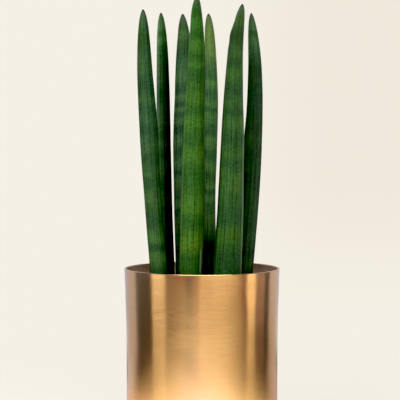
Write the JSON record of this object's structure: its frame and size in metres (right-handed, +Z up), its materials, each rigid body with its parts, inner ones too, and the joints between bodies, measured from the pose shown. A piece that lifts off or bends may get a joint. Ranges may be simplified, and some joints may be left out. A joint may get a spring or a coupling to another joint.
{
  "type": "cylindrical snake plant",
  "caption": "Potted succulent with tall, rounded, pointed upright leaves standing in soil in a round brushed brass pot with a hemmed edge.",
  "frame": {"origin": "middle of the pot's flat underside, on the pot's axis", "axes": "+Z up along the pot's axis and the leaves; -Y is the front, where the leaves fan out from left (-X) to right (+X)"},
  "size_m": [0.1506, 0.1506, 0.412],
  "materials": {
    "brass": "satin",
    "soil": "matte",
    "leaf": "satin"
  },
  "bodies": {
    "root": {"pot": "brass", "soil": "soil", "leaf_1": "leaf", "leaf_2": "leaf", "leaf_3": "leaf", "leaf_4": "leaf", "leaf_5": "leaf", "leaf_6": "leaf", "leaf_7": "leaf"}
  },
  "joints": []
}
